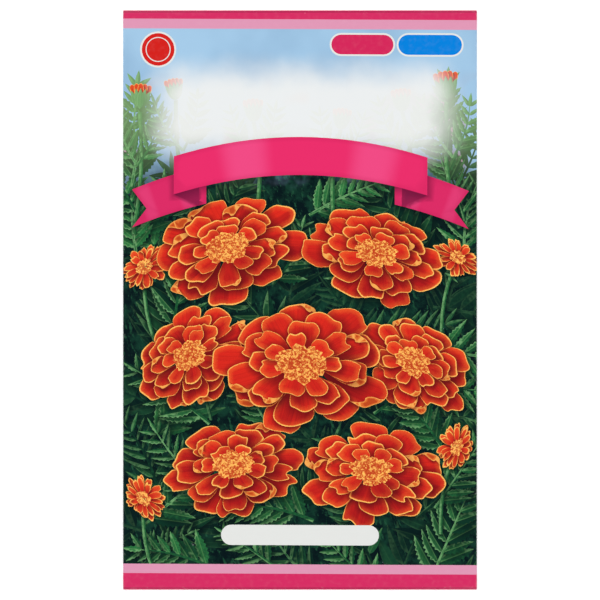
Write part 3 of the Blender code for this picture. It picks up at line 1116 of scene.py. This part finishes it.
def nearest(points, starts, ends):
    """For each point and each segment: how far along it the nearest place is, from 0 to 1, and the
    distance to it."""
    span = ends - starts
    offset = points[:, None, :] - starts
    share = np.clip((offset * span).sum(2) / ((span**2).sum(1) + 1e-12), 0, 1)
    return share, np.linalg.norm(offset - span * share[:, :, None], axis=2)


def outline_distance(points, outline):
    """How far each point is from the nearest edge of a closed outline."""
    return nearest(points, outline, np.roll(outline, -1, axis=0))[1].min(1)


def spine_place(points, spine):
    """For each point, how far along the spine it is, from 0 to 1, and how far off to its left."""
    share, distance = nearest(points, spine[:-1], spine[1:])
    piece = distance.argmin(1)
    lengths = np.linalg.norm(np.diff(spine, axis=0), axis=1)
    passed = np.concatenate([[0], np.cumsum(lengths)[:-1]])
    along = (passed[piece] + share[np.arange(len(points)), piece] * lengths[piece]) / lengths.sum()
    heading = (np.diff(spine, axis=0) / (lengths[:, None] + 1e-12))[piece]
    off = points - spine[piece]
    return along, heading[:, 0] * off[:, 1] - heading[:, 1] * off[:, 0]


def shown_parts(kept, whole):
    """The edges of the kept shapes, whose they are, and which of them later shapes hide. Shadows'
    edges count as hidden too where they fall on an ink that takes no shadow."""
    rings = []
    for number, shape in enumerate(kept):
        rings.append((number, False, shape.outline))
        if whole:
            rings.extend((number, False, contour) for contour in shape.contours)
            if shape.shadow:
                rings.append((number, True, inset(shape.outline, -shape.shadow)[::2] + shadow_shift))
    owner = np.concatenate([np.full(len(ring), number) for number, _, ring in rings])
    is_shadow = np.concatenate([np.full(len(ring), cast) for _, cast, ring in rings])
    starts = np.concatenate([ring for _, _, ring in rings])
    ends = np.concatenate([np.roll(ring, -1, axis=0) for _, _, ring in rings])
    hidden = np.zeros((3, len(owner)), bool)
    for tested, points in zip(hidden, (starts, ends, (starts + ends) / 2)):
        find = finder(points)
        on_top = np.zeros(len(owner), int)
        for number, shape in enumerate(kept[1:], start=1):
            reached = find(shape.outline)
            on_top[reached] = number
            tested[reached[owner[reached] < number]] = True
    unshaded = np.isin([shape.ink for shape in kept], unshaded_inks)[on_top]
    return owner, np.stack([starts, ends], axis=1), hidden.all(0) | (is_shadow & unshaded)


# Leave out the leaves that are almost hidden, and divide the sheet along the edges that show
unshaded_inks = [inks.index(ink) for ink in (paper_ink, sky_ink, flat_ink)]
owner, edges, hidden = shown_parts(shapes, False)
hidden_share = np.bincount(owner, hidden) / np.bincount(owner)
leaf = inks.index(leaf_ink)
shapes = [
    shape for shape, share in zip(shapes, hidden_share) if shape.ink != leaf or share < hidden_limit
]
owner, edges, hidden = shown_parts(shapes, True)
flat_points, triangles = divided(cut_outline, [edges[~hidden]])

# Each triangle takes the ink of the last shape laid over it
find = finder(flat_points[triangles].mean(1))
top_shape = np.zeros(len(triangles), int)
for number, shape in enumerate(shapes[1:], start=1):
    top_shape[find(shape.outline)] = number
corner_points = flat_points[triangles]
place = np.zeros((len(triangles), 3, 3))
tint = np.zeros((len(triangles), 3, 4))
tint[:, :, 3] = 1
order = np.argsort(top_shape, kind="stable")
starts = np.flatnonzero(np.diff(top_shape[order], prepend=-1))
for members in np.split(order, starts[1:]):
    shape = shapes[top_shape[members[0]]]
    tint[members, :, :3] = shape.tint
    if shape.ink in unshaded_inks:
        continue
    corners = corner_points[members].reshape(-1, 2)
    along, across = spine_place(corners, shape.spine)
    rim = outline_distance(corners, shape.outline)
    place[members] = np.stack([along, across, rim], axis=1).reshape(-1, 3, 3)

# and the shadows that later shapes cast on it
shade = np.zeros((len(triangles), 3))
for number, shape in enumerate(shapes):
    if not shape.shadow:
        continue
    members = find(inset(shape.outline, -shape.shadow) + shadow_shift)
    members = members[top_shape[members] < number]
    if not len(members):
        continue
    corners = corner_points[members].reshape(-1, 2) - shadow_shift
    distance = outline_distance(corners, shape.outline)
    distance[covered(corners, shape.outline)] = 0
    fall = np.clip(1 - distance / shape.shadow, 0, 1).reshape(-1, 3)
    shade[members] = 1 - (1 - shade[members]) * (1 - shadow_strength * fall**1.2)
shaded = ~np.isin([shapes[i].ink for i in top_shape], unshaded_inks)
tint[shaded, :, 2] = shade[shaded]

# The cut edge, in order, from the printed side, and the plain side divided to match it
sides = np.concatenate([triangles[:, [0, 1]], triangles[:, [1, 2]], triangles[:, [2, 0]]]).tolist()
present = {tuple(side) for side in sides}
follow = {a: b for a, b in sides if (b, a) not in present}
first = next(iter(follow))
cut_loop = [first]
while follow[cut_loop[-1]] != first:
    cut_loop.append(follow[cut_loop[-1]])
plain_points, plain_triangles = divided(flat_points[cut_loop], [])
plain_key = {tuple(np.round(point, 4)): i for i, point in enumerate(plain_points)}
shift = len(flat_points)
plain_loop = [shift + plain_key[tuple(np.round(flat_points[i], 4))] for i in cut_loop]

sheet_points = np.concatenate([flat_points, plain_points])
lift = np.where(np.arange(len(sheet_points)) < shift, paper / 2, -paper / 2)
vertices = folded(sheet_points[:, 0] * MM, sheet_points[:, 1] * MM, lift)
edge_faces = []
for i, j in enumerate((*range(1, len(cut_loop)), 0)):
    edge_faces.append((cut_loop[j], cut_loop[i], plain_loop[i]))
    edge_faces.append((cut_loop[j], plain_loop[i], plain_loop[j]))
all_triangles = np.concatenate([triangles, plain_triangles[:, ::-1] + shift, edge_faces])

mesh = bpy.data.meshes.new("envelope_paper")
mesh.from_pydata(vertices.tolist(), [], all_triangles.tolist())
for ink in inks:
    mesh.materials.append(ink)
slots = np.zeros(len(all_triangles), np.int32)
slots[: len(triangles)] = [shapes[i].ink for i in top_shape]
mesh.polygons.foreach_set("material_index", slots)


def spread(values, width):
    """Values for every corner of the mesh: those of the printed side, then nothing."""
    whole = np.zeros((len(all_triangles), 3, width), np.float32)
    whole[: len(triangles)] = values
    return whole.ravel()


# The map through which an export bakes the print. The front has most of its width, and beside it
# lie the back, the plain inside and, in a narrow strip, the cut edge.
fold_mm = side_lines[-1]
print_x = sheet_points[:, 0].astype(np.float32)
print_y = sheet_points[:, 1].astype(np.float32)
map_u = np.interp(print_x, (-sheet_mm, -fold_mm, fold_mm, sheet_mm), (0.0, 0.15, 0.68, 0.83))
map_u[shift:] = 0.84 + 0.15 * (print_x[shift:] + sheet_mm) / (2 * sheet_mm)
map_v = (print_y + tongue_mm) / (2 * tongue_mm)
print_map = np.stack([map_u[all_triangles], map_v[all_triangles]], axis=2)
strip_left, strip_right = 0.993, 0.999
for i in range(len(cut_loop)):
    foot, top = i / len(cut_loop), (i + 1) / len(cut_loop)
    row = len(triangles) + len(plain_triangles) + 2 * i
    print_map[row] = (strip_left, top), (strip_left, foot), (strip_right, foot)
    print_map[row + 1] = (strip_left, top), (strip_right, foot), (strip_right, top)
print_at = np.stack([print_x, print_y, np.zeros_like(print_x)], axis=1)
mesh.uv_layers.new(name="OFBake").data.foreach_set("uv", print_map.astype(np.float32).ravel())
mesh.attributes.new("print_at", "FLOAT_VECTOR", "POINT").data.foreach_set("vector", print_at.ravel())
mesh.attributes.new("place", "FLOAT_VECTOR", "CORNER").data.foreach_set("vector", spread(place, 3))
mesh.attributes.new("tint", "FLOAT_COLOR", "CORNER").data.foreach_set("color", spread(tint, 4))
mesh.update()
mesh.shade_smooth()
mesh.set_sharp_from_angle(angle=math.radians(50))
envelope = add_object("envelope_paper", mesh)
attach(envelope, "root")
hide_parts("envelope")


# The glue
# The seam and both tongues are stuck down with thin films of white paste, brushed on and dried
# clear at their edges. They keep the shape of their solids, between the layers of paper.
glue_material, start = start_material("dried_paste")
at = start.node("TexCoord", {}, {}, "Object")
brushed = start.node("Mapping", {}, {"Vector": at, "Scale": (1.0, 0.12, 1.0)}).noise(900.0, 4.0, 0.6)
paste = (brushed * 0.6 + at.noise(160.0, 3.0) * 0.4).between(0.3, 0.7)
start.finish({
    "Base Color": paste.blend((0.58, 0.52, 0.38), (0.86, 0.84, 0.76)),
    "Roughness": paste * 0.25 + 0.28,
    "Normal": paste.relief(0.5, 0.02 * MM),
})
for node in ("seam_glue", "top_flap_glue", "bottom_flap_glue"):
    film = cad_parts[node].data
    film.materials.clear()
    film.materials.append(glue_material)


# The seeds
# Forty loose seeds lie inside on the back. Each is a slender black husk, ribbed along its length,
# with a tuft of flat, straw-coloured bristles at one end, as it comes off a dried flower head.
seed_count = 40
husk_sides = 18
husk_ribs = 6
husk_radius = 0.46 * MM
tuft_share = 0.315
tuft_radius = 0.58 * MM
bristles = 9
bristle_width = 0.26 * MM
bristle_thickness = 0.05 * MM
# Each ring of the husk: its share of the husk's length and of its radius
husk_rings = (
    (0.0, 0.30), (0.03, 0.42), (0.14, 0.64),
    (0.3, 0.86), (0.5, 1.0), (0.7, 1.0),
    (0.86, 0.92), (0.96, 0.76), (1.0, 0.60),
)
# Each section of a bristle: its share of the bristle's length, and how far out and wide it is
bristle_sections = ((-0.04, 0.22, 0.9), (0.45, 0.60, 1.0), (1.0, 1.0, 0.12))
husk_material, start = start_material("ribbed_husk")
share, ridge, _ = start.attribute("husk").parts()
fleck = start.node("TexCoord", {}, {}, "Object").noise(3500.0, 3.0, 0.6)
streaked = start.vector(share * 3.0, ridge * 4.0, share).noise(4.0, 3.0)
black = (ridge * 0.6 + fleck * 0.4).between(0.3, 0.9).blend((0.010, 0.008, 0.006), (0.085, 0.062, 0.040))
straw = (streaked * 0.5 + fleck * 0.5).between(0.3, 0.7).blend((0.46, 0.31, 0.13), (0.78, 0.62, 0.36))
start.finish({
    "Base Color": share.between(0.66, 0.70).blend(black, straw),
    "Roughness": 0.50 + fleck * 0.25,
    "Normal": fleck.relief(0.4, 0.03 * MM),
})


def seed_line(node):
    """Where the seed's solid lies: its foot, its tuft's end, and how far it bows to its side."""
    corners = np.array([tuple(v.co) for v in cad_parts[node].data.vertices])
    corners = np.unique(np.round(corners, 7), axis=0)
    middle = corners.mean(0)
    lengthwise = np.linalg.eigh(np.cov((corners - middle).T))[1][:, -1]
    order = np.argsort((corners - middle) @ lengthwise)
    ends = [corners[order[:husk_ribs]], corners[order[-husk_ribs:]]]
    ends.sort(key=lambda end: np.linalg.norm(end - end.mean(0), axis=1).max())
    foot, tip = ends[0].mean(0), ends[1].mean(0)
    whole = tip - foot
    side = np.array([-whole[1], whole[0], 0.0]) / np.linalg.norm(whole)
    arch = np.sin(math.pi * (corners - foot) @ whole / (whole @ whole))
    return foot, whole, side, ((corners - foot) @ side * arch).sum() / (arch**2).sum()


def loft(seed, rings):
    """Joins rings of corners with faces, and closes both ends."""
    for lower, upper in zip(rings, rings[1:]):
        for i, j in enumerate((*range(1, len(lower)), 0)):
            seed.faces.new((lower[i], lower[j], upper[j], upper[i]))
    seed.faces.new(rings[0][::-1])
    seed.faces.new(rings[-1])


def make_seed(number):
    """One seed, lofted over its solid, with its bristles spread inside the solid's tuft."""
    node = f"seed_{number:02d}"
    foot, whole, side, bow = seed_line(node)
    draw = random.Random(number)
    seed = bmesh.new()
    husk = seed.verts.layers.float_vector.new("husk")

    def spot(share, across, up, ridge):
        place = foot + whole * share + side * (bow * math.sin(math.pi * share) + across)
        corner = seed.verts.new(tuple(place + np.array([0.0, 0.0, up])))
        corner[husk] = (share, ridge, 0)
        return corner

    rings = []
    for share, radius in husk_rings:
        ring = []
        for step in range(husk_sides):
            turn = math.tau * step / husk_sides
            ridge = 0.5 + 0.5 * math.cos(husk_ribs * turn)
            across, up = husk_radius * radius * (0.86 + 0.12 * ridge) * direction(turn)
            ring.append(spot(share * (1 - tuft_share), across, up, ridge))
        rings.append(ring)
    loft(seed, rings)
    for bristle in range(bristles):
        turn = math.tau * (bristle + draw.uniform(-0.25, 0.25)) / bristles
        longest = draw.uniform(0.80, 1.0)
        blade = []
        for along, out, width in bristle_sections:
            share = 1 - tuft_share + tuft_share * along * longest
            section = []
            for flat, thick in ((-1, -1), (1, -1), (1, 1), (-1, 1)):
                reach = tuft_radius * out * 0.92 + thick * bristle_thickness / 2
                slide = flat * bristle_width * width / 2
                across = reach * math.cos(turn) - slide * math.sin(turn)
                section.append(spot(share, across, reach * math.sin(turn) + slide * math.cos(turn), 0.5))
            blade.append(section)
        loft(seed, blade)
    bmesh.ops.recalc_face_normals(seed, faces=seed.faces)
    mesh = bpy.data.meshes.new(f"loose_{node}")
    seed.to_mesh(mesh)
    seed.free()
    mesh.materials.append(husk_material)
    mesh.shade_smooth()
    mesh.set_sharp_from_angle(angle=math.radians(50))
    piece = add_object(f"loose_{node}", mesh)
    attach(piece, "root")
    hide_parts(node)


for number in range(1, seed_count + 1):
    make_seed(number)
